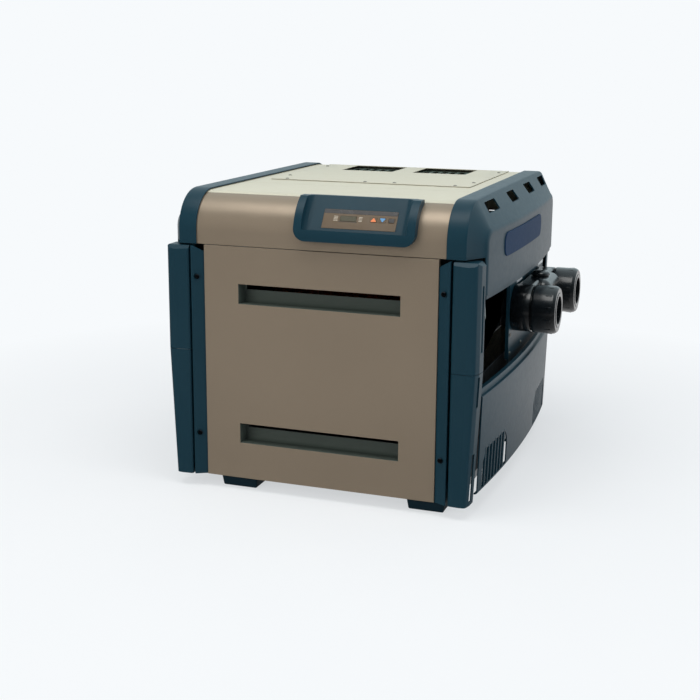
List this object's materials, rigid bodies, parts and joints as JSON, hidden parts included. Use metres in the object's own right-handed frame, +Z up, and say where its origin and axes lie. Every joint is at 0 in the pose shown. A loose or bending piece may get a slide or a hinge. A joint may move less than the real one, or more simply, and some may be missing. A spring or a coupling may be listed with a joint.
{
  "type": "gas pool heater",
  "caption": "Square forced-draught gas water heater cabinet with louvred front, plastic end caps, sloped control pad, side pipe unions and exhaust slots on top.",
  "frame": {"origin": "on the ground, at the bottom centre of the bounding box, which is under the middle of the cabinet", "axes": "+X to the right seen from the front, towards the pipe ports; -Y out of the front panel; +Z up"},
  "size_m": [0.808, 0.778, 0.6152],
  "materials": {
    "tan_paint": "bronze-tan powder coat, satin",
    "cream_paint": "cream powder coat, satin",
    "slate_plastic": "slate blue moulded plastic, fine grain",
    "black_plastic": "black moulded plastic, glossy",
    "foot_rubber": "near-black moulded plastic",
    "galvanised_steel": "galvanised sheet",
    "dark_steel": "dark coated steel",
    "refractory": "insulated fire box, matt",
    "copper": "bare copper",
    "brass": "machined brass",
    "spring_steel": "spring wire",
    "circuit_board": "green circuit board",
    "keypad_film": "printed film",
    "display_lens": "dark clear lens",
    "key_orange": "orange key",
    "key_blue": "blue key"
  },
  "bodies": {
    "root": {"base_pan": "galvanised_steel", "blower_housing": "dark_steel", "blower_motor": "dark_steel", "burner_tray": "dark_steel", "bypass_cap": "black_plastic", "bypass_spring": "spring_steel", "cabinet_frame": "galvanised_steel", "combustion_chamber": "refractory", "control_board": "circuit_board", "control_hood": "slate_plastic", "display_lens": "display_lens", "drain_plug": "brass", "exhaust_cover": "cream_paint", "exhaust_grille": "dark_steel", "flue_collector": "galvanised_steel", "foot_front_left": "foot_rubber", "foot_front_right": "foot_rubber", "foot_rear_left": "foot_rubber", "foot_rear_right": "foot_rubber", "front_corner_post_lower_left": "slate_plastic", "front_corner_post_lower_right": "slate_plastic", "front_corner_post_upper_left": "slate_plastic", "front_corner_post_upper_right": "slate_plastic", "gas_inlet_pipe": "dark_steel", "gas_manifold": "galvanised_steel", "gas_valve": "galvanised_steel", "heat_exchanger": "copper", "junction_box": "galvanised_steel", "keypad": "keypad_film", "left_end_cap": "slate_plastic", "left_lower_side_panel": "slate_plastic", "left_service_plate": "slate_plastic", "pressure_switch": "galvanised_steel", "rear_corner_post_left": "slate_plastic", "rear_corner_post_right": "slate_plastic", "rear_panel": "tan_paint", "return_header": "black_plastic", "right_end_cap": "slate_plastic", "right_lower_side_panel": "slate_plastic", "right_service_plate": "slate_plastic", "top_panel": "cream_paint", "upper_front_panel": "tan_paint", "water_header": "black_plastic"},
    "access_panel": {"front_access_panel": "tan_paint", "trim_strip_left": "slate_plastic", "trim_strip_right": "slate_plastic", "panel_screw_upper_left": "dark_steel", "panel_screw_upper_right": "dark_steel", "panel_screw_lower_left": "dark_steel", "panel_screw_lower_right": "dark_steel"},
    "key_up": {"key_up": "key_orange"},
    "key_down": {"key_down": "key_blue"},
    "key_mode": {"key_mode": "black_plastic"},
    "blower_rotor": {"blower_wheel": "galvanised_steel"},
    "gas_knob": {"gas_valve_knob": "black_plastic"},
    "bypass_poppet": {"bypass_poppet": "brass"},
    "inlet_tailpiece": {"inlet_tailpiece": "black_plastic"},
    "inlet_nut": {"inlet_union_nut": "black_plastic"},
    "outlet_tailpiece": {"outlet_tailpiece": "black_plastic"},
    "outlet_nut": {"outlet_union_nut": "black_plastic"}
  },
  "joints": [
    {"name": "access_panel_removal", "type": "slide", "parent": "root", "child": "access_panel", "axis": [0, -1, 0], "range_m": [0, 0.2]},
    {"name": "key_up_press", "type": "slide", "parent": "root", "child": "key_up", "axis": [0, 0.825, -0.5651], "range_m": [0, 0.0006], "stiffness_N_per_m": 1500},
    {"name": "key_down_press", "type": "slide", "parent": "root", "child": "key_down", "axis": [0, 0.825, -0.5651], "range_m": [0, 0.0006], "stiffness_N_per_m": 1500},
    {"name": "key_mode_press", "type": "slide", "parent": "root", "child": "key_mode", "axis": [0, 0.825, -0.5651], "range_m": [0, 0.0006], "stiffness_N_per_m": 1500},
    {"name": "blower_spin", "type": "hinge", "parent": "root", "child": "blower_rotor", "pos_m": [0.13, -0.222, 0.505], "axis": [0, 1, 0], "continuous": true},
    {"name": "gas_knob_turn", "type": "hinge", "parent": "root", "child": "gas_knob", "pos_m": [-0.24, -0.158, 0.088], "axis": [0, 1, 0], "range_deg": [0, 90]},
    {"name": "bypass_lift", "type": "slide", "parent": "root", "child": "bypass_poppet", "axis": [0, 0, 1], "range_m": [0, 0.008], "stiffness_N_per_m": 900, "deforming": ["bypass_spring"]},
    {"name": "inlet_union_draw", "type": "slide", "parent": "root", "child": "inlet_tailpiece", "axis": [1, 0, 0], "range_m": [0, 0.012]},
    {"name": "inlet_nut_turn", "type": "hinge", "parent": "inlet_tailpiece", "child": "inlet_nut", "pos_m": [0.377, 0.264, 0.346], "axis": [1, 0, 0], "range_deg": [0, 1081]},
    {"name": "outlet_union_draw", "type": "slide", "parent": "root", "child": "outlet_tailpiece", "axis": [1, 0, 0], "range_m": [0, 0.012]},
    {"name": "outlet_nut_turn", "type": "hinge", "parent": "outlet_tailpiece", "child": "outlet_nut", "pos_m": [0.377, 0.024, 0.346], "axis": [1, 0, 0], "range_deg": [0, 1081]}
  ],
  "couplings": [
    {"joint": "inlet_nut_turn", "follows": "inlet_union_draw", "rad_per_m": 1570.8},
    {"joint": "outlet_nut_turn", "follows": "outlet_union_draw", "rad_per_m": 1570.8}
  ]
}
